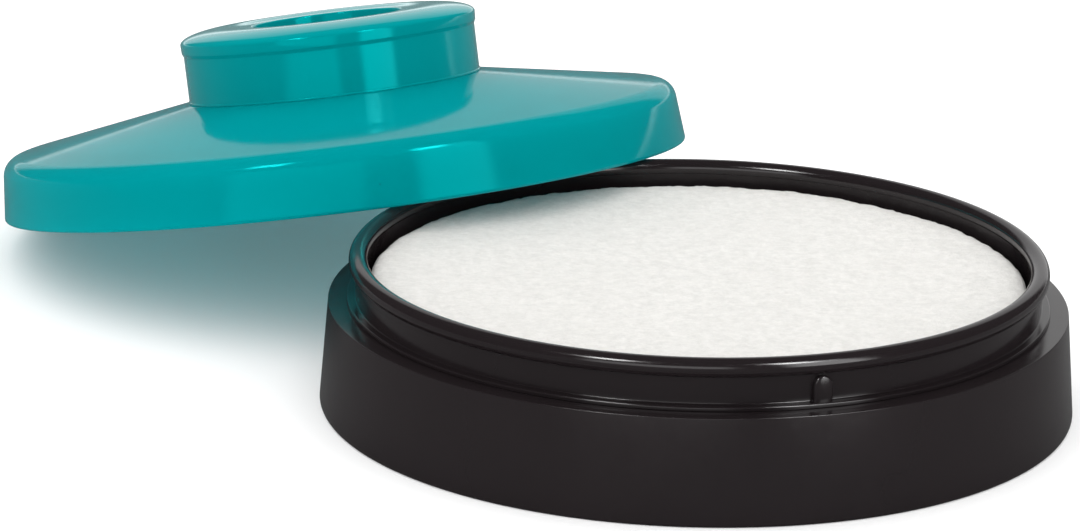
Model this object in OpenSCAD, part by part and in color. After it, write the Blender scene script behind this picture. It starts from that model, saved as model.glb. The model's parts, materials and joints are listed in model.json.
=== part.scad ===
// Round wet palette: a felt pad in a water dish, set in a tapered base, and a lid with a hollow knob.
// The base stands on z = 0 with its axis on Z. The lid leans with its far rim on the table and its
// skirt across the bead of the dish.

/* [Base] */
// Outer diameter of the base where it stands
base_d = 100; // [85:0.5:120]
// How far the skirt leans inwards from its foot to its shoulder
base_taper = 1.15; // [0.5:0.05:2]
// Height of the shoulder
base_h = 13.8; // [11:0.1:18]
// Thickness of the skirt
base_wall = 2; // [1.5:0.1:2.5]
// Thickness of the ledge that carries the dish
ledge_t = 2; // [1.5:0.1:3]
// Width of the ledge that stays in view outside the flange of the dish
ledge_w = 2.45; // [2:0.05:3.5]
// Number of ribs that stiffen the ledge from below
base_ribs = 12; // [6:1:18]
// Thickness of one stiffening rib
base_rib_t = 1.2; // [0.8:0.1:2]
// Rounding of the foot of the skirt
base_foot_r = 0.4; // [0.2:0.1:0.7]

/* [Dish] */
// Height of the bead above the ledge
ring_h = 6.5; // [5:0.1:9]
// Thickness of the wall
dish_wall = 1.4; // [1:0.1:1.8]
// Thickness of the floor
dish_floor_t = 2; // [1.5:0.1:3]
// Diameter of the rolled bead
bead_d = 2.5; // [2:0.1:3]
// How far the bead stands out past the wall
bead_overhang = 0.9; // [0.6:0.05:1]
// How far the flange at the foot of the ring stands out past the wall
flange_w = 1.15; // [0.8:0.05:1.6]
// Thickness of the flange
flange_t = 0.6; // [0.4:0.1:1]
// Number of locating ribs around the ring
locating_ribs = 3; // [3:1:6]
// Width of one locating rib
locating_rib_w = 2.5; // [1.5:0.1:3.5]
// Height of one locating rib above the flange
locating_rib_h = 3.4; // [2:0.1:3.8]
// How far a locating rib stands out past the wall
locating_rib_out = 0.85; // [0.5:0.05:0.9]
// Bearing of the first locating rib
locating_rib_az = -70; // [-180:1:180]
// How far a snap wedge stands out under the ledge
snap_out = 0.6; // [0.4:0.05:0.8]

/* [Pad] */
// How far the pad lies below the top of the bead
pad_recess = 2.8; // [1.5:0.1:5]
// Rounding of the upper edge of the pad
pad_edge_r = 1; // [0.5:0.1:2]

/* [Lid] */
// How far the rim of the lid stands out past the foot of the base
lid_overhang = 0.3; // [0:0.05:0.6]
// How far the skirt leans inwards from its rim to its shoulder
lid_taper = 0.65; // [0.3:0.05:1]
// Thickness of the skirt
lid_wall = 2; // [1.8:0.1:2.4]
// Thickness of the top
lid_top_t = 1.65; // [1.2:0.05:2.2]
// Radius of the rounded shoulder
lid_edge_r = 2.75; // [2:0.05:3.2]
// Slope of the conical top in degrees
lid_slope = 10; // [6:0.5:13]
// Rounding of the rim of the skirt
lid_rim_r = 0.5; // [0.3:0.05:0.8]
// Thickness of the inner collar that is centred by the locating ribs
collar_wall = 1.1; // [0.8:0.1:1.3]
// Height of the mouth of the collar above the rim
collar_lift = 2.4; // [1.8:0.1:3]
// Thickness of the soft seal
seal_t = 1.2; // [1:0.1:1.6]
// Radial width of the soft seal
seal_w = 3; // [2.8:0.1:4]
// How far the bead sinks into the seal when the lid is on
seal_squeeze = 0.2; // [0.1:0.05:0.4]

/* [Knob] */
// Outer diameter of the cylindrical wall
knob_d = 42.85; // [35:0.05:52]
// Height of the knob from its seat to the crown of its top
knob_h = 10.4; // [8.5:0.05:14]
// Thickness of every wall
knob_wall = 1.6; // [1.2:0.1:2]
// How far the rolled lip stands out past the wall
knob_lip_out = 0.3; // [0.2:0.05:0.6]
// How far the widest part of the lip lies below the crown
knob_lip_drop = 1.8; // [1.2:0.05:2.4]
// Height over which the wall curves out to the lip
knob_lip_under = 2; // [1:0.1:2.5]
// How far the crown lies inside the lip, along the radius
crown_in = 6.7; // [3:0.1:8]
// How far the mouth of the recess lies below the crown
recess_dip = 0.3; // [0:0.05:0.5]
// Diameter of the finger recess
recess_d = 22; // [16:0.5:27]
// Thickness of the floor of the recess
recess_floor_t = 1.5; // [1:0.1:2.5]
// Rounding of the mouth of the recess
recess_edge_r = 0.3; // [0.2:0.05:0.7]
// Rounding of the foot of the knob
knob_foot_r = 0.2; // [0.1:0.05:0.5]
// Thickness of the top of the lid under the knob
seat_t = 1.35; // [1.1:0.05:2]
// Height of the seat that carries the knob, above the cone
seat_h = 0.05; // [0.05:0.05:0.6]
// Height of the spigot that the knob fits over
spigot_h = 3; // [2:0.1:4]

/* [Fits] */
// Radial clearance between the dish and the ledge
dish_fit = 0.15; // [0.1:0.05:0.3]
// Radial clearance between the pad and the bead
pad_fit = 0.35; // [0.3:0.05:0.6]
// Radial clearance between the collar and the ring
lid_fit = 0.2; // [0.15:0.05:0.4]
// Radial clearance between the knob and its spigot
knob_fit = 0.1; // [0.05:0.05:0.2]
// Clearance around the seal in its seat
seal_fit = 0.1; // [0.05:0.05:0.2]
// Gap between the leaning lid and the bead
lean_gap = 0.15; // [0.1:0.05:0.3]

/* [Leaning lid] */
// Bearing of the lid from the axis of the base
lid_az = 129.3; // [0:0.1:360]
// How far the rim of the lid laps over the ring of the dish, seen from above
lid_lap = 12.9; // [8:0.1:16]

/* [Hidden] */
$fn = 180;
eps = 0.01;
arc_steps = 8;

// Radii of the base and the dish, worked inwards from the foot of the skirt
base_r = base_d / 2;
shoulder_r = base_r - base_taper;
flange_r = shoulder_r - ledge_w;
dish_r = flange_r - flange_w;
dish_in_r = dish_r - dish_wall;
bead_r = bead_d / 2;
bead_ring_r = dish_r + bead_overhang - bead_r;
bead_out_r = dish_r + bead_overhang;
bead_top_z = base_h + ring_h;
bead_z = bead_top_z - bead_r;
rib_out_r = dish_r + locating_rib_out;
snap_h = 1.5;
snap_w = 6;

// Pad
pad_r = bead_ring_r - bead_r - pad_fit;
pad_top_z = bead_top_z - pad_recess;

// Lid in its own frame: rim plane on z = 0, axis on Z
lid_r = base_r + lid_overhang;
lid_in_r = lid_r - lid_wall;
seat_z = ring_h + seal_t - seal_squeeze;
lid_edge_z = seat_z + lid_top_t;
edge_c = [lid_r - lid_taper - lid_edge_r, lid_edge_z - lid_edge_r];
collar_in_r = max(bead_out_r, rib_out_r) + lid_fit;
collar_out_r = collar_in_r + collar_wall;
land_in_r = collar_in_r - seal_w - 2 * seal_fit;
land_wall = 1;
drop = lid_top_t / cos(lid_slope);

// Knob in the same frame
knob_r = knob_d / 2;
knob_seat_r = knob_r + 0.07;
knob_z = cone_z(knob_seat_r) + seat_h;
lip_r = knob_r + knob_lip_out;
recess_r = recess_d / 2;
lip_z = knob_h - knob_lip_drop;
crown_r = max(lip_r - crown_in, recess_r + recess_edge_r + eps);
mouth_z = knob_h - recess_dip;
spigot_r = knob_r - knob_wall - knob_fit;
spigot_wall = 1.2;
knob_in_r = knob_r - knob_wall;

// Where the lid leans: the far rim stands on the table and the skirt crosses the bead
lid_dist = bead_ring_r + lid_r - lid_lap;
contact_r = lid_r - lid_wall / 2;
contact_z = bead_top_z + lean_gap;
lid_lean = lean(8, 12);
lid_z = rim_rise(lid_lean);

// Height of the outer cone over radius r
function cone_z(r) = edge_c[1] + lid_edge_r / cos(lid_slope) + (edge_c[0] - r) * tan(lid_slope);

// Height of the lid's centre above the table when it leans by a
function rim_rise(a) = (lid_r - lid_rim_r) * sin(a) + lid_rim_r * (1 - cos(a));

// Distance from the axis of the base at which the leaning rim crosses the bead
function crossing(a) =
    let (k = 1 / pow(cos(a), 2),
         b = 2 * lid_dist * k,
         c = pow(lid_dist, 2) * k + pow(bead_ring_r, 2) - pow(contact_r, 2))
    2 * c / (b + sqrt(b * b - 4 * (k - 1) * c));

// The lean at which the rim plane lies on the bead, found by repeating the step n times
function lean(n, a) = n == 0 ? a
    : lean(n - 1, asin((contact_z - lid_rim_r * (1 - cos(a)))
                       / (lid_r - lid_rim_r + (lid_dist - crossing(a)) / cos(a))));

// Points along an arc of radius r about c, from angle a0 to a1
function arc(c, r, a0, a1) = bow(c, [r, r], a0, a1);

// Points along an ellipse with half axes h about c, from angle a0 to a1
function bow(c, h, a0, a1) =
    [for (i = [0 : arc_steps]) c + [h[0] * cos(a0 + (a1 - a0) * i / arc_steps),
                                    h[1] * sin(a0 + (a1 - a0) * i / arc_steps)]];

// Points along an even curve, flat at both ends, from p to q
function sweep(p, q) =
    [for (i = [0 : arc_steps]) [p[0] + (q[0] - p[0]) * (1 - cos(180 * i / arc_steps)) / 2,
                                p[1] + (q[1] - p[1]) * i / arc_steps]];

module turned(points) {
    rotate_extrude() polygon(points);
}

module tube(r_in, r_out, z0, z1) {
    translate([0, 0, z0]) difference() {
        cylinder(r = r_out, h = z1 - z0);
        translate([0, 0, -eps]) cylinder(r = r_in, h = z1 - z0 + 2 * eps);
    }
}

// Puts a piece of the lid where the lid leans
module leaning() {
    translate([lid_dist * cos(lid_az), lid_dist * sin(lid_az), lid_z])
        rotate([0, lid_lean, lid_az])
            children();
}

module base_skirt() {
    turned(concat(
        [[base_r - base_wall, 0]],
        arc([base_r - base_foot_r, base_foot_r], base_foot_r, -90, 0),
        [[shoulder_r, base_h],
         [dish_r + dish_fit, base_h],
         [dish_r + dish_fit, base_h - ledge_t],
         [shoulder_r - base_wall, base_h - ledge_t]]));
}

module base_shell() {
    color([0.05, 0.05, 0.055]) {
        base_skirt();
        for (i = [0 : base_ribs - 1])
            rotate([0, 0, i * 360 / base_ribs])
                translate([dish_r + 2 * dish_fit, -base_rib_t / 2, base_h / 3])
                    cube([shoulder_r - base_wall - dish_r - 2 * dish_fit + eps, base_rib_t,
                          base_h * 2 / 3 - ledge_t + eps]);
    }
}

// A rib with a round top that stands against the outside of the ring
module locating_rib() {
    w = locating_rib_w / 2;
    intersection() {
        translate([dish_r - dish_wall / 2, 0, base_h + flange_t / 2]) rotate([90, 0, 90])
            linear_extrude(dish_wall / 2 + 2 * locating_rib_out) union() {
                translate([-w, 0]) square([2 * w, locating_rib_h - w + flange_t / 2]);
                translate([0, locating_rib_h - w + flange_t / 2]) circle(r = w);
            }
        cylinder(r = rib_out_r, h = bead_top_z);
    }
}

// A wedge that holds the dish down, just under the ledge
module snap_wedge() {
    z = base_h - ledge_t - dish_fit;
    intersection() {
        turned([[dish_r - dish_wall / 2, z], [dish_r + snap_out, z], [dish_r - dish_wall / 2, z - 2 * snap_h]]);
        translate([0, -snap_w / 2, 0]) cube([base_r, snap_w, base_h]);
    }
}

module inner_dish() {
    color([0.05, 0.05, 0.055]) {
        cylinder(r = dish_r, h = dish_floor_t);
        tube(dish_in_r, dish_r, 0, bead_z);
        tube(dish_r - eps, flange_r, base_h, base_h + flange_t);
        translate([0, 0, bead_z]) rotate_extrude()
            translate([bead_ring_r, 0]) circle(r = bead_r, $fn = 48);
        for (i = [0 : locating_ribs - 1])
            rotate([0, 0, locating_rib_az + i * 360 / locating_ribs]) {
                locating_rib();
                rotate([0, 0, 360 / base_ribs / 2 - locating_rib_az]) snap_wedge();
            }
    }
}

module sponge_pad() {
    color([0.93, 0.93, 0.91])
        turned(concat(
            [[0, dish_floor_t], [pad_r, dish_floor_t]],
            arc([pad_r - pad_edge_r, pad_top_z - pad_edge_r], pad_edge_r, 0, 90),
            [[0, pad_top_z]]));
}

// Outline of the lid from its rim up the outside to the middle, then back underneath
module lid_outline() {
    under_z = knob_z - seat_t;
    under_r = edge_c[0] - (under_z + drop - cone_z(edge_c[0])) / tan(lid_slope);
    inner_top = [land_in_r - land_wall, cone_z(land_in_r - land_wall) - drop];
    polygon(concat(
        arc([lid_in_r + lid_rim_r, lid_rim_r], lid_rim_r, 180, 270),
        arc([lid_r - lid_rim_r, lid_rim_r], lid_rim_r, -90, 0),
        arc(edge_c, lid_edge_r, 0, 90 - lid_slope),
        [[knob_seat_r, cone_z(knob_seat_r)], [knob_seat_r, knob_z], [0, knob_z], [0, under_z],
         [under_r, under_z], inner_top, [inner_top[0], seat_z],
         [lid_in_r - lid_taper, seat_z]]));
}

module lid_shell() {
    color([0.0, 0.62, 0.64]) leaning() {
        rotate_extrude() lid_outline();
        tube(collar_in_r, collar_out_r, collar_lift, seat_z + eps);
        tube(land_in_r - land_wall, land_in_r, seat_z - seal_t / 2, seat_z + eps);
        tube(spigot_r - spigot_wall, spigot_r, knob_z - eps, knob_z + spigot_h);
    }
}

// The knob in its own frame, with its foot on z = 0
module lid_knob() {
    color([0.0, 0.62, 0.64]) leaning() translate([0, 0, knob_z])
        turned(concat(
            [[0, 0], [recess_r + knob_wall, 0], [recess_r + knob_wall, lip_z], [knob_in_r, lip_z],
             [knob_in_r, 0]],
            arc([knob_r - knob_foot_r, knob_foot_r], knob_foot_r, -90, 0),
            sweep([knob_r, lip_z - knob_lip_under], [lip_r, lip_z - eps]),
            bow([crown_r, lip_z], [lip_r - crown_r, knob_lip_drop], 0, 90),
            arc([recess_r + recess_edge_r, mouth_z - recess_edge_r], recess_edge_r, 90, 180),
            [[recess_r, recess_floor_t], [0, recess_floor_t]]));
}

module lid_seal() {
    color([0.85, 0.87, 0.86]) leaning()
        tube(land_in_r + seal_fit, collar_in_r - seal_fit, seat_z - seal_t, seat_z);
}

base_shell();
inner_dish();
sponge_pad();
lid_shell();
lid_knob();
lid_seal();
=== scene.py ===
"""Looks of the round wet palette: a felt pad in a glossy black dish and base, and a glossy teal lid."""
import json
from math import atan2, cos, degrees, pi, radians, sin, sqrt, tan

import bmesh
import bpy
from mathutils import Matrix, Vector, noise


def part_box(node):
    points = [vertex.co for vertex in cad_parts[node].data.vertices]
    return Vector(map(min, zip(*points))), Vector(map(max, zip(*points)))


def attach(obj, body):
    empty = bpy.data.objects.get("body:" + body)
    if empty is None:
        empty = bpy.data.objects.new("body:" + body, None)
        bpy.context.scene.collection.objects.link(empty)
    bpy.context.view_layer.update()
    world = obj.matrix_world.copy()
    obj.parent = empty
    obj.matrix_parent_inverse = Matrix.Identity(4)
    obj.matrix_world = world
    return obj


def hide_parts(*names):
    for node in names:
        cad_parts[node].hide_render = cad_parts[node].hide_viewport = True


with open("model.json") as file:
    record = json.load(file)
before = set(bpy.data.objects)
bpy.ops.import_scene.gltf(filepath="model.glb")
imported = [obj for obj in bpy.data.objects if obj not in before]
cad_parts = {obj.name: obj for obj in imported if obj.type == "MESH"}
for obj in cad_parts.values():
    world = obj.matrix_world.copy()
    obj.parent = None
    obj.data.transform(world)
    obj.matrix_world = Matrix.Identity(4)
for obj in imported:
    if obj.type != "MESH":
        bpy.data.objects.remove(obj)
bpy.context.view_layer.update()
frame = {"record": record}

MM = 0.001

# ---------------------------------------------------------------- sizes, in millimetres

BASE_R = (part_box("base_shell")[1][0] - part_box("base_shell")[0][0]) / 2 / MM
BASE_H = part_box("base_shell")[1][2] / MM
BASE_TAPER = 1.15
SHOULDER_R = BASE_R - BASE_TAPER
BASE_WALL = 2.0
LEDGE_T = 2.0
BASE_RIBS = 12
BASE_RIB_T = 1.2
BASE_RIB_SINK = 0.05    # how far a rib runs into the ledge above it
BASE_RIB_BITE = 0.15    # and into the skirt beside it

FLANGE_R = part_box("inner_dish")[1][0] / MM
FLANGE_T = 0.6
DISH_R = FLANGE_R - 1.15
DISH_WALL = 1.4
DISH_FLOOR = 2.0
DISH_FIT = 0.15
BEAD_R = 1.25
BEAD_OUT_R = DISH_R + 0.9
BEAD_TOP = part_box("inner_dish")[1][2] / MM
LOCATING_RIBS = 3
LOCATING_RIB_AZ = -70
LOCATING_RIB_W = 2.5
LOCATING_RIB_H = 3.4
LOCATING_RIB_OUT = 0.85
LOCATING_RIB_SOFT = 0.25
LOCATING_RIB_ROOT = 0.5     # how far a rib runs into the wall
LOCATING_RIB_SINK = 0.1     # and into the flange

PAD_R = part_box("sponge_pad")[1][0] / MM
PAD_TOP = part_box("sponge_pad")[1][2] / MM
PAD_GRID = 0.42
PAD_TURNS = 480
PAD_NAP_ROOM = 0.45     # mean level of the nap below the top of the pad
PAD_SIDE_ROOM = 0.12
PAD_EDGE = 1.6          # width of the rolled edge
PAD_ROLL = 0.75         # and how far it rolls down
PAD_SIDE_LEVELS = (PAD_TOP - 2.5, DISH_FLOOR + 6, DISH_FLOOR + 0.6)

LID_R = BASE_R + 0.3
LID_TAPER = 0.65
LID_WALL = 2.0
LID_TOP_T = 1.65
LID_EDGE_R = 2.75
LID_SLOPE = radians(10)
LID_SEAT = 7.5
LID_EDGE_Z = LID_SEAT + LID_TOP_T
COLLAR_R = BEAD_OUT_R + 0.2
COLLAR_WALL = 1.1
COLLAR_LIFT = 2.4
LAND_R = COLLAR_R - 3.2
LAND_WALL = 1.0
SEAL_T = 1.2

KNOB_R = 21.425
KNOB_SEAT_R = KNOB_R + 0.07
KNOB_SEAT_H = 0.05
KNOB_SEAT_T = 1.35
KNOB_H = 10.4
KNOB_WALL = 1.6
KNOB_LIP_OUT = 0.3
KNOB_LIP_DROP = 1.8
KNOB_FLARE_START = 1.75     # below the widest level of the lip
KNOB_FLARE_END = 1.25
KNOB_FLARE_IN = 0.06
KNOB_FOOT_OUT = 0.15        # ring at the foot that catches the light
KNOB_FOOT_H = 0.3
CROWN_IN = 6.7
RECESS_R = 11.0
RECESS_DIP = 0.3
RECESS_EDGE = 0.3
RECESS_FLOOR = 1.5
SPIGOT_FIT = 0.1
SPIGOT_R = KNOB_R - KNOB_WALL - SPIGOT_FIT
SPIGOT_WALL = 1.2
SPIGOT_H = 3.0

TURNS = 384
SEAL_TURNS = 192


# ---------------------------------------------------------------- the lid's place

def lid_matrix():
    """From the lid's own frame, rim on z = 0, to the row frame, from the mount in the recess of the knob."""
    mount = [m for m in frame["record"]["mounts"] if m["name"] == "finger_recess"][0]
    axis = Vector(mount["axis"]).normalized()
    middle = knob_seat_z() + (RECESS_FLOOR + KNOB_H - RECESS_DIP - RECESS_EDGE) / 2
    centre = Vector(mount["pos_m"]) - axis * middle * MM
    turn = Vector((0, 0, 1)).rotation_difference(axis).to_matrix().to_4x4()
    return Matrix.Translation(centre) @ turn


def cone_z(r):
    """Height of the lid's outer cone over radius r."""
    edge_r = LID_R - LID_TAPER - LID_EDGE_R
    return LID_EDGE_Z - LID_EDGE_R + LID_EDGE_R / cos(LID_SLOPE) + (edge_r - r) * tan(LID_SLOPE)


def knob_seat_z():
    return cone_z(KNOB_SEAT_R) + KNOB_SEAT_H


# ---------------------------------------------------------------- mesh tools

def arc(centre, radius, start, end, steps=12):
    """Points (r, z) along an arc, from angle start to end in degrees."""
    angles = [radians(start + (end - start) * i / steps) for i in range(steps + 1)]
    return [(centre[0] + radius * cos(a), centre[1] + radius * sin(a)) for a in angles]


def rounded(corners, steps=8):
    """An outline from corners (r, z) or (r, z, fillet), with each fillet as an arc."""
    points = []
    count = len(corners)
    for i, corner in enumerate(corners):
        if len(corner) == 2:
            points.append(corner)
            continue
        here = Vector(corner[:2])
        back = (Vector(corners[i - 1][:2]) - here).normalized()
        ahead = (Vector(corners[(i + 1) % count][:2]) - here).normalized()
        half = back.angle(ahead) / 2
        centre = here + (back + ahead).normalized() * corner[2] / sin(half)
        first = here + back * corner[2] / tan(half) - centre
        last = here + ahead * corner[2] / tan(half) - centre
        turn = first.angle_signed(last)
        for k in range(steps + 1):
            spoke = first.copy()
            spoke.rotate(Matrix.Rotation(-turn * k / steps, 2))
            points.append(tuple(centre + spoke))
    return points


def degrees_of(side, radius):
    """Angle from straight down at which a circle is side away from its centre line."""
    return degrees(atan2(side, sqrt(radius * radius - side * side)))


def turned(bm, outline, turns=TURNS, place=Matrix()):
    """Adds the closed outline (r, z), in millimetres, turned about the axis."""
    rings = []
    for r, z in outline:
        if r < 1e-6:
            rings.append([bm.verts.new(place @ Vector((0, 0, z * MM)))])
        else:
            rings.append([bm.verts.new(place @ Vector((r * cos(a) * MM, r * sin(a) * MM, z * MM)))
                          for a in (2 * pi * k / turns for k in range(turns))])
    for low, high in zip(rings, rings[1:] + rings[:1]):
        if len(low) == 1 and len(high) == 1:
            continue
        for k in range(turns):
            n = (k + 1) % turns
            corners = [low[k % len(low)], low[n % len(low)], high[n % len(high)], high[k % len(high)]]
            face = [v for j, v in enumerate(corners) if v is not corners[j - 1]]
            bm.faces.new(face)


def add_block(bm, radii, half_width, heights, place):
    """A plain block between two radii and two heights, for ribs that meet the walls around them."""
    made = bmesh.ops.create_cube(bm, size=1)["verts"]
    centre = Vector((sum(radii) / 2, 0, sum(heights) / 2)) * MM
    size = Vector((radii[1] - radii[0], 2 * half_width, heights[1] - heights[0])) * MM
    shape = Matrix.Translation(centre) @ Matrix.Diagonal(size.to_4d())
    bmesh.ops.transform(bm, verts=made, matrix=place @ shape)


def join(bm, inner, outer):
    """Faces between two rings of vertices, or from one vertex to a ring."""
    count = len(outer)
    for k in range(count):
        n = (k + 1) % count
        if len(inner) == 1:
            bm.faces.new([inner[0], outer[k], outer[n]])
        else:
            bm.faces.new([inner[k], outer[k], outer[n], inner[n]])


def finish_mesh(bm, name, material, sharp=40):
    """Turns the bmesh into an object with clean normals, smooth but for edges past the sharp angle."""
    bmesh.ops.remove_doubles(bm, verts=bm.verts, dist=1e-7)
    bmesh.ops.recalc_face_normals(bm, faces=bm.faces)
    mesh = bpy.data.meshes.new(name)
    bm.to_mesh(mesh)
    bm.free()
    mesh.shade_smooth()
    mesh.set_sharp_from_angle(angle=radians(sharp))
    mesh.materials.append(material)
    piece = bpy.data.objects.new(name, mesh)
    bpy.context.scene.collection.objects.link(piece)
    return piece


# ---------------------------------------------------------------- colours

INK, INK_SHADE = (0.0138, 0.0105, 0.0115, 1), (0.0120, 0.0091, 0.0100, 1)
TEAL, TEAL_SHADE = (0.0, 0.35, 0.37, 1), (0.0, 0.33, 0.35, 1)
# Painted shade: the knob is the same teal plastic as the lid, given a darker colour that stands in for the
# shade on it.
KNOB_PAINTED_SHADE_TEAL, KNOB_PAINTED_SHADE_TEAL_FLOW = (0.0, 0.265, 0.282, 1), (0.0, 0.25, 0.266, 1)
TEAL_SHEEN = (0.0, 1.0, 1.0, 1)
THROUGH_TEAL = (0.0, 0.75, 0.80, 1)
SPECK, SPECK_SHARE = (0.02, 0.03, 0.03, 1), 0.35
FELT_DARK, FELT_LIGHT, FELT_PATCH = (0.645, 0.635, 0.605, 1), (0.80, 0.785, 0.755, 1), (0.70, 0.685, 0.655, 1)
SEAL_MILK, SEAL_BLOOM = (0.62, 0.65, 0.64, 1), (0.70, 0.72, 0.71, 1)


# ---------------------------------------------------------------- material tools

def add_node(tree, kind, inputs=None, **settings):
    """A new node in the tree, with its inputs linked or set, and its own settings."""
    node = tree.nodes.new(kind)
    for key, value in settings.items():
        setattr(node, key, value)
    for key, value in (inputs or {}).items():
        if isinstance(value, bpy.types.NodeSocket):
            tree.links.new(value, node.inputs[key])
        else:
            node.inputs[key].default_value = value
    return node


class Nodes:
    """Short names for adding and linking the nodes of one material. Noise scales are per metre."""

    def __init__(self, name):
        self.material = bpy.data.materials.new(name)
        self.material.use_nodes = True
        self.tree = self.material.node_tree
        self.bsdf = self.tree.nodes["Principled BSDF"]
        self.out = self.tree.nodes["Material Output"]
        self.position = self.add("ShaderNodeTexCoord").outputs["Object"]

    def add(self, kind, inputs=None, **settings):
        return add_node(self.tree, kind, inputs, **settings)

    def noise(self, scale, detail=3.0, rough=0.55):
        return self.add("ShaderNodeTexNoise", {"Vector": self.position, "Scale": scale,
                                               "Detail": detail, "Roughness": rough}).outputs["Fac"]

    def ramp(self, value, low, high, to_low=0.0, to_high=1.0):
        return self.add("ShaderNodeMapRange", {"Value": value, "From Min": low, "From Max": high,
                                               "To Min": to_low, "To Max": to_high}).outputs["Result"]

    def math(self, operation, a, b=0.0):
        return self.add("ShaderNodeMath", {0: a, 1: b}, operation=operation).outputs["Value"]

    def mix(self, factor, a, b):
        """A mix of two colours. 0, 6, 7 and 2 are the factor's and the colours' sockets."""
        return self.add("ShaderNodeMix", {0: factor, 6: a, 7: b}, data_type="RGBA").outputs[2]

    def link(self, value, socket):
        self.tree.links.new(value, self.bsdf.inputs[socket])

    def bump(self, height, distance, strength=1.0, normal=None):
        inputs = {"Height": height, "Distance": distance, "Strength": strength}
        if normal:
            inputs["Normal"] = normal
        return self.add("ShaderNodeBump", inputs).outputs["Normal"]


def moulded_plastic(name, colour, shade, gloss, tint=(1, 1, 1, 1), through=0.0):
    """Glossy injection-moulded plastic: faint flow marks, a slight orange peel, fine scuffs and specks.

    through is the share of the light that passes on into the shadow."""
    n = Nodes(name)
    flow = n.noise(60, detail=2)
    scuff = n.noise(900, detail=4, rough=0.7)
    cells = n.add("ShaderNodeTexVoronoi", {"Vector": n.position, "Scale": 110}).outputs["Distance"]
    specks = n.ramp(cells, 0.012, 0.02, 1.0, 0.0)
    tone = n.mix(n.ramp(flow, 0.3, 0.7), colour, shade)
    n.link(n.mix(n.math("MULTIPLY", specks, SPECK_SHARE), tone, SPECK), "Base Color")
    n.link(n.ramp(scuff, 0.35, 0.75, gloss, gloss + 0.07), "Roughness")
    peel = n.bump(n.noise(420, detail=1), 0.00002, 0.12)
    n.link(n.bump(n.noise(2600, detail=2), 0.00001, 0.10, peel), "Normal")
    n.bsdf.inputs["IOR"].default_value = 1.4
    n.bsdf.inputs["Specular Tint"].default_value = tint
    if through:
        thin = n.add("ShaderNodeBsdfTranslucent", {"Color": THROUGH_TEAL})
        both = n.add("ShaderNodeMixShader", {0: through, 1: n.bsdf.outputs[0], 2: thin.outputs[0]})
        n.tree.links.new(both.outputs[0], n.out.inputs["Surface"])
    return n.material


def felt():
    """Off-white needled felt: mottled clumps, a web of fine fibres and a soft nap."""
    n = Nodes("felt_white")
    clumps = n.noise(850, detail=5, rough=0.7)
    patches = n.noise(70, detail=2)
    strands = n.noise(1500, detail=6, rough=0.75)
    tone = n.mix(n.ramp(clumps, 0.32, 0.68), FELT_DARK, FELT_LIGHT)
    tone = n.mix(n.ramp(patches, 0.35, 0.7, 0.0, 0.25), tone, FELT_PATCH)
    n.link(tone, "Base Color")
    n.bsdf.inputs["Roughness"].default_value = 0.95
    n.bsdf.inputs["Sheen Weight"].default_value = 0.25
    n.bsdf.inputs["Sheen Roughness"].default_value = 0.6
    n.link(n.bump(strands, 0.0005, 0.8), "Normal")
    return n.material


def soft_rubber():
    """Milky soft seal with a faint bloom."""
    n = Nodes("seal_rubber_white")
    bloom = n.ramp(n.noise(300), 0.3, 0.7)
    n.link(n.mix(bloom, SEAL_MILK, SEAL_BLOOM), "Base Color")
    n.link(n.ramp(bloom, 0, 1, 0.45, 0.6), "Roughness")
    n.bsdf.inputs["Subsurface Weight"].default_value = 0.2
    n.bsdf.inputs["Subsurface Scale"].default_value = 0.001
    return n.material


# ---------------------------------------------------------------- pieces

def base_piece(material):
    """Tapered skirt with its ledge, and the stiffening ribs below the ledge."""
    bm = bmesh.new()
    inner = DISH_R + DISH_FIT
    turned(bm, rounded([
        (BASE_R - BASE_WALL, 0, 0.3), (BASE_R, 0, 0.4), (SHOULDER_R, BASE_H, 0.12),
        (inner, BASE_H, 0.15), (inner, BASE_H - LEDGE_T, 0.2),
        (SHOULDER_R - BASE_WALL, BASE_H - LEDGE_T, 0.8)]))
    radii = (inner + DISH_FIT, SHOULDER_R - BASE_WALL + BASE_RIB_BITE)
    heights = (BASE_H / 3, BASE_H - LEDGE_T + BASE_RIB_SINK)
    for i in range(BASE_RIBS):
        turn = Matrix.Rotation(2 * pi * i / BASE_RIBS, 4, "Z")
        add_block(bm, radii, BASE_RIB_T / 2, heights, turn)
    return finish_mesh(bm, "base_skirt", material)


def dish_outline():
    """Floor, ring wall, flange and rolled bead of the dish."""
    bead = (BEAD_OUT_R - BEAD_R, BEAD_TOP - BEAD_R)
    out_angle = -90 + degrees_of(DISH_R - bead[0], BEAD_R)
    in_angle = 270 - degrees_of(bead[0] - (DISH_R - DISH_WALL), BEAD_R)
    return rounded([
        (0, 0), (DISH_R, 0, 0.5), (DISH_R, BASE_H), (FLANGE_R, BASE_H, 0.1),
        (FLANGE_R, BASE_H + FLANGE_T, 0.22), (DISH_R, BASE_H + FLANGE_T, 0.15),
        *arc(bead, BEAD_R, out_angle, in_angle, 40),
        (DISH_R - DISH_WALL, DISH_FLOOR, 1.0), (0, DISH_FLOOR)])


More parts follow.
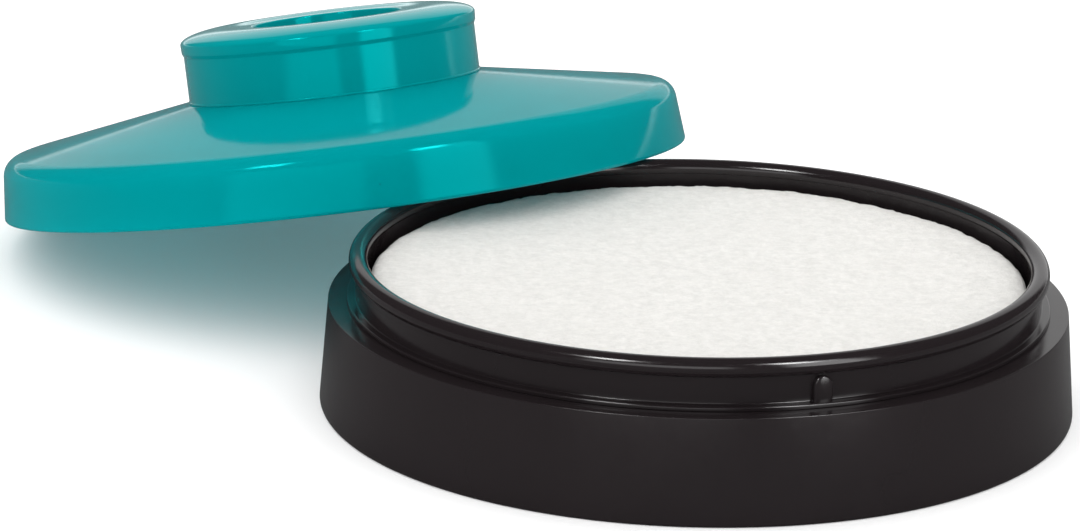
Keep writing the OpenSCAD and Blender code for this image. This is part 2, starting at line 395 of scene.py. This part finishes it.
def add_locating_rib(bm, bearing, steps=10):
    """An upright rib with a round top, its front edge softened, standing on the flange."""
    half = LOCATING_RIB_W / 2
    foot = BASE_H + FLANGE_T - LOCATING_RIB_SINK
    top = BASE_H + FLANGE_T + LOCATING_RIB_H
    soft = LOCATING_RIB_SOFT
    layers = []
    for inset, out in ((0, -LOCATING_RIB_ROOT), (0, LOCATING_RIB_OUT - soft),
                       (soft * 0.3, LOCATING_RIB_OUT - soft * 0.3), (soft, LOCATING_RIB_OUT)):
        w = half - inset
        outline = [(-w, foot)] + [(-w * cos(pi * k / steps), top - half + w * sin(pi * k / steps))
                                  for k in range(steps + 1)] + [(w, foot)]
        ring = []
        for across, z in outline:
            angle = bearing + across / DISH_R
            r = DISH_R + out
            ring.append(bm.verts.new(Vector((r * cos(angle), r * sin(angle), z)) * MM))
        layers.append(ring)
    for inner, outer in zip(layers, layers[1:]):
        for k in range(len(inner) - 1):
            bm.faces.new([inner[k], inner[k + 1], outer[k + 1], outer[k]])
        bm.faces.new([inner[-1], inner[0], outer[0], outer[-1]])
    bm.faces.new(layers[-1])
    bm.faces.new(list(reversed(layers[0])))


def dish_piece(material):
    """Ring wall with its rolled bead and flange, the floor, and the locating ribs."""
    bm = bmesh.new()
    turned(bm, dish_outline())
    for i in range(LOCATING_RIBS):
        add_locating_rib(bm, radians(LOCATING_RIB_AZ + 360 * i / LOCATING_RIBS))
    return finish_mesh(bm, "dish_ring", material, sharp=50)


def lid_piece(material, place):
    """Shallow cone with a turned-down skirt, a collar, a land for the seal and a spigot for the knob."""
    seat = knob_seat_z()
    under = seat - KNOB_SEAT_T
    drop = LID_TOP_T / cos(LID_SLOPE)
    edge_r = LID_R - LID_TAPER - LID_EDGE_R
    under_r = edge_r - (under + drop - cone_z(edge_r)) / tan(LID_SLOPE)
    taper = LID_TAPER / (LID_EDGE_Z - LID_EDGE_R)
    corner_z = (cone_z(edge_r) + (edge_r - LID_R) * tan(LID_SLOPE)) / (1 - taper * tan(LID_SLOPE))
    land_out = LAND_R - LAND_WALL
    bm = bmesh.new()
    turned(bm, rounded([
        (LID_R - LID_WALL, 0, 0.5), (LID_R, 0, 0.5),
        (LID_R - taper * corner_z, corner_z, LID_EDGE_R),
        (KNOB_SEAT_R, cone_z(KNOB_SEAT_R), 0.12), (KNOB_SEAT_R, seat, 0.12),
        (SPIGOT_R, seat), (SPIGOT_R, seat + SPIGOT_H, 0.2),
        (SPIGOT_R - SPIGOT_WALL, seat + SPIGOT_H, 0.2), (SPIGOT_R - SPIGOT_WALL, seat),
        (0, seat), (0, under), (under_r, under, 3.0),
        (land_out, cone_z(land_out) - drop, 0.4), (land_out, LID_SEAT - SEAL_T / 2, 0.2),
        (LAND_R, LID_SEAT - SEAL_T / 2, 0.2), (LAND_R, LID_SEAT), (COLLAR_R, LID_SEAT),
        (COLLAR_R, COLLAR_LIFT, 0.3), (COLLAR_R + COLLAR_WALL, COLLAR_LIFT, 0.3),
        (COLLAR_R + COLLAR_WALL, LID_SEAT), (LID_R - LID_WALL - LID_TAPER, LID_SEAT, 0.3)]), place=place)
    return finish_mesh(bm, "lid_cap", material)


def knob_piece(material, place):
    """Hollow knob: cylindrical wall, rolled lip, crowned top and a round finger recess with its floor."""
    seat = knob_seat_z()
    foot_r = KNOB_R + KNOB_FOOT_OUT
    lip = KNOB_R + KNOB_LIP_OUT
    lip_z = KNOB_H - KNOB_LIP_DROP
    crown = lip - CROWN_IN
    mouth = RECESS_R + RECESS_EDGE
    hub = RECESS_R + KNOB_WALL
    skin = KNOB_R - KNOB_WALL
    steps = 24
    quarter = [pi / 2 * k / steps for k in range(steps + 1)]
    over_lip = [(crown + CROWN_IN * cos(a), lip_z + KNOB_LIP_DROP * sin(a)) for a in quarter]
    to_mouth = [(crown + (mouth - crown) * k / 8, KNOB_H - RECESS_DIP * (1 - cos(pi * k / 8)) / 2)
                for k in range(1, 8)]
    corners = [
        (0, 0), (hub, 0, 0.3), (hub, lip_z, 0.3), (skin, lip_z, 0.3), (skin, 0, 0.2),
        (foot_r, 0, 0.05), (foot_r, KNOB_FOOT_H, 0.13), (KNOB_R, KNOB_FOOT_H + 0.01),
        (KNOB_R, lip_z - KNOB_FLARE_START, 0.5), (lip - KNOB_FLARE_IN, lip_z - KNOB_FLARE_END, 0.25),
        *over_lip, *to_mouth,
        *arc((mouth, KNOB_H - RECESS_DIP - RECESS_EDGE), RECESS_EDGE, 90, 180, 6),
        (RECESS_R, RECESS_FLOOR, 1.0), (0, RECESS_FLOOR)]
    bm = bmesh.new()
    turned(bm, [(r, z + seat) for r, z in rounded(corners)], place=place)
    return finish_mesh(bm, "lid_knob_cap", material)


def seal_piece(material, place):
    """Flat soft ring under the lid with rounded corners."""
    inner, outer = LAND_R + 0.1, COLLAR_R - 0.1
    bm = bmesh.new()
    turned(bm, rounded([(inner, LID_SEAT - SEAL_T, 0.3), (outer, LID_SEAT - SEAL_T, 0.3),
                        (outer, LID_SEAT, 0.05), (inner, LID_SEAT, 0.05)], steps=5), SEAL_TURNS, place)
    return finish_mesh(bm, "lid_soft_ring", material)


def pad_height(x, y):
    """Height of the felt above its mean level, in millimetres: broad swells, clumps and fine nap."""
    swell = noise.noise(Vector((x / 16, y / 16, 3.1))) * 0.10
    clump = noise.fractal(Vector((x / 1.9, y / 1.9, 7.7)), 0.8, 2.1, 3) * 0.10
    nap = noise.noise(Vector((x * 1.7, y * 1.7, 1.3))) * 0.05
    return swell + clump + nap


def pad_piece(material):
    """The felt disc: a rough nap on top that rolls over at the edge, and plain sides in the dish."""
    bm = bmesh.new()
    rings = int(PAD_R / PAD_GRID)
    low = PAD_TOP - PAD_NAP_ROOM
    previous = [bm.verts.new(Vector((0, 0, low + pad_height(0, 0))) * MM)]
    for i in range(1, rings + 1):
        r = PAD_R * i / rings - PAD_SIDE_ROOM
        fall = max(0.0, r - (PAD_R - PAD_EDGE)) / PAD_EDGE
        ring = []
        for k in range(PAD_TURNS):
            angle = 2 * pi * k / PAD_TURNS
            x, y = r * cos(angle), r * sin(angle)
            rough = pad_height(x, y) * (1 + fall)
            z = low + rough - PAD_ROLL * (1 - sqrt(max(0.0, 1 - fall * fall)))
            ring.append(bm.verts.new(Vector((x, y, z)) * MM))
        join(bm, previous, ring)
        previous = ring
    for z in PAD_SIDE_LEVELS:
        ring = [bm.verts.new(Vector((v.co.x, v.co.y, z * MM))) for v in previous]
        join(bm, previous, ring)
        previous = ring
    bm.faces.new(previous)
    return finish_mesh(bm, "felt_pad", material, sharp=80)


# ---------------------------------------------------------------- studio

FLOOR_HALF = 6.0                    # in metres, like the next pair
FLOOR_DIM_FROM, FLOOR_DIM_AT = 0.9, 0.45
FLOOR_PALE, FLOOR_DIM = (0.90, 0.90, 0.90, 1), (0.16, 0.16, 0.16, 1)
FLOOR_GLOW = 0.08
# Softboxes that only reflections see: bearing from the front, width, height, depth, in degrees, and power.
SOFTBOXES = ((43, 20, 20, 54, 7.5), (-34, 20, 46, 8, 3.5), (-12, 40, 9, 22, 3.2),
             (37, 8, 45, 6, 45.0), (-33, 8, 45, 6, 45.0))
SOFTBOX_BLUR = 6.0
WALL_BEARING = (146.0, 156.0)       # the wall behind, from its soft side edge inwards
WALL_TOP = (44.0, 39.0)             # and from its soft top edge down
GLOSS_LEVEL = 0.06
FILL_LEVEL, FILL_RISE, FILL_SPAN = 1.10, 0.85, (0.05, 0.6)


def floor_piece():
    """Wide pale floor, white where nothing shades it, and dim near the object to a reflection."""
    bm = bmesh.new()
    corners = ((-1, -1), (1, -1), (1, 1), (-1, 1))
    bm.faces.new([bm.verts.new((x * FLOOR_HALF, y * FLOOR_HALF, 0)) for x, y in corners])
    n = Nodes("studio_floor")
    n.tree.nodes.remove(n.bsdf)
    diffuse = n.add("ShaderNodeBsdfDiffuse", {"Color": FLOOR_PALE})
    glow = n.add("ShaderNodeEmission", {"Color": (1, 1, 1, 1), "Strength": FLOOR_GLOW})
    both = n.add("ShaderNodeAddShader", {0: diffuse.outputs[0], 1: glow.outputs[0]})
    dim = n.add("ShaderNodeBsdfDiffuse", {"Color": FLOOR_DIM})
    depth = n.add("ShaderNodeSeparateXYZ", {0: n.position}).outputs["Y"]
    near = n.ramp(depth, FLOOR_DIM_FROM, FLOOR_DIM_AT)
    mirrored = n.math("MULTIPLY", near, n.add("ShaderNodeLightPath").outputs["Is Glossy Ray"])
    seen = n.add("ShaderNodeMixShader", {0: mirrored, 1: both.outputs[0], 2: dim.outputs[0]})
    n.tree.links.new(seen.outputs[0], n.out.inputs["Surface"])
    finish_mesh(bm, "studio_floor", n.material)


def studio_world():
    """Even white light, and for the reflections a white wall behind and softboxes in front."""
    world = bpy.data.worlds.new("studio")
    bpy.context.scene.world = world
    world.use_nodes = True
    tree = world.node_tree
    tree.nodes.clear()

    def add(kind, inputs=None, **settings):
        return add_node(tree, kind, inputs, **settings)

    def step(value, low, high):
        return add("ShaderNodeMapRange", {"Value": value, "From Min": low, "From Max": high},
                   interpolation_type="SMOOTHSTEP").outputs["Result"]

    def math(operation, a, b=0.0):
        return add("ShaderNodeMath", {0: a, 1: b}, operation=operation).outputs[0]

    way = add("ShaderNodeSeparateXYZ", {0: add("ShaderNodeTexCoord").outputs["Generated"]})
    x, y, z = way.outputs
    bearing = math("MULTIPLY", math("ARCTAN2", x, math("MULTIPLY", y, -1.0)), 180 / pi)
    height = math("MULTIPLY", math("ARCSINE", z), 180 / pi)

    def within(value, middle, span):
        """1 within half the span of the middle, with a soft edge outside it."""
        away = math("ABSOLUTE", math("SUBTRACT", value, middle))
        return step(away, span / 2 + SOFTBOX_BLUR, span / 2)

    wall = math("MULTIPLY", step(math("ABSOLUTE", bearing), *WALL_BEARING), step(height, *WALL_TOP))
    level = math("ADD", wall, GLOSS_LEVEL)
    for az, width, el, tall, power in SOFTBOXES:
        panel = math("MULTIPLY", within(bearing, az, width), within(height, el, tall))
        level = math("ADD", level, math("MULTIPLY", panel, power))
    light = add("ShaderNodeBackground", {"Strength": level})
    sky = math("ADD", math("MULTIPLY", step(z, *FILL_SPAN), FILL_RISE), FILL_LEVEL)
    fill = add("ShaderNodeBackground", {"Strength": sky})
    path = add("ShaderNodeLightPath")
    pick = add("ShaderNodeMixShader",
               {0: path.outputs["Is Glossy Ray"], 1: fill.outputs[0], 2: light.outputs[0]})
    add("ShaderNodeOutputWorld", {"Surface": pick.outputs[0]})


CAMERA_DISTANCE = 11.3972           # in base radii
CAMERA_HEIGHT_ANGLE = 0.327569      # in radians, like the next three
CAMERA_YAW = -0.0387648
CAMERA_PITCH = 0.0299183
CAMERA_ROLL = 0.0146449
CAMERA_FOCAL_PX = 4270.4
IMAGE_WIDTH_PX = 1080


def add_camera():
    """A long lens low over the front of the dish."""
    data = bpy.data.cameras.new("camera")
    data.sensor_width = 36
    data.lens = CAMERA_FOCAL_PX / IMAGE_WIDTH_PX * data.sensor_width
    data.clip_end = 20
    camera = bpy.data.objects.new("camera", data)
    bpy.context.scene.collection.objects.link(camera)
    far = CAMERA_DISTANCE * BASE_R * MM
    tilt = CAMERA_PITCH - CAMERA_HEIGHT_ANGLE
    ahead = Vector((sin(CAMERA_YAW) * cos(tilt), cos(CAMERA_YAW) * cos(tilt), sin(tilt)))
    right = ahead.cross(Vector((0, 0, 1))).normalized()
    up = right.cross(ahead)
    level, lean = cos(CAMERA_ROLL), sin(CAMERA_ROLL)
    right, up = level * right + lean * up, level * up - lean * right
    place = Matrix((right, up, -ahead)).transposed().to_4x4()
    place.translation = Vector((0, -far * cos(CAMERA_HEIGHT_ANGLE), far * sin(CAMERA_HEIGHT_ANGLE)))
    camera.matrix_world = place
    bpy.context.scene.camera = camera


# ---------------------------------------------------------------- assembly

def build():
    """The studio, and each piece on its body with the node it replaces."""
    add_camera()
    studio_world()
    floor_piece()
    bpy.context.scene.view_settings.view_transform = "Standard"

    black = moulded_plastic("plastic_black", INK, INK_SHADE, gloss=0.17)
    dish_black = moulded_plastic("plastic_black_dish", INK, INK_SHADE, gloss=0.12)
    teal = moulded_plastic("plastic_teal", TEAL, TEAL_SHADE, gloss=0.05, tint=TEAL_SHEEN, through=0.40)
    # The knob's darker teal is painted shade, not a different plastic.
    knob_painted_shade_teal = moulded_plastic("plastic_teal_knob_painted_shade", KNOB_PAINTED_SHADE_TEAL, KNOB_PAINTED_SHADE_TEAL_FLOW, gloss=0.06, tint=TEAL_SHEEN)
    place = lid_matrix()

    for piece, body, node, slot in (
            (base_piece(black), "tray", "base_shell", "base_plastic"),
            (dish_piece(dish_black), "tray", "inner_dish", "dish_plastic"),
            (pad_piece(felt()), "pad", "sponge_pad", "pad_felt"),
            (lid_piece(teal, place), "lid", "lid_shell", "lid_plastic"),
            (knob_piece(knob_painted_shade_teal, place), "lid", "lid_knob", "knob_plastic"),
            (seal_piece(soft_rubber(), place), "lid", "lid_seal", "seal_rubber")):
        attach(piece, body)
        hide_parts(node)


build()
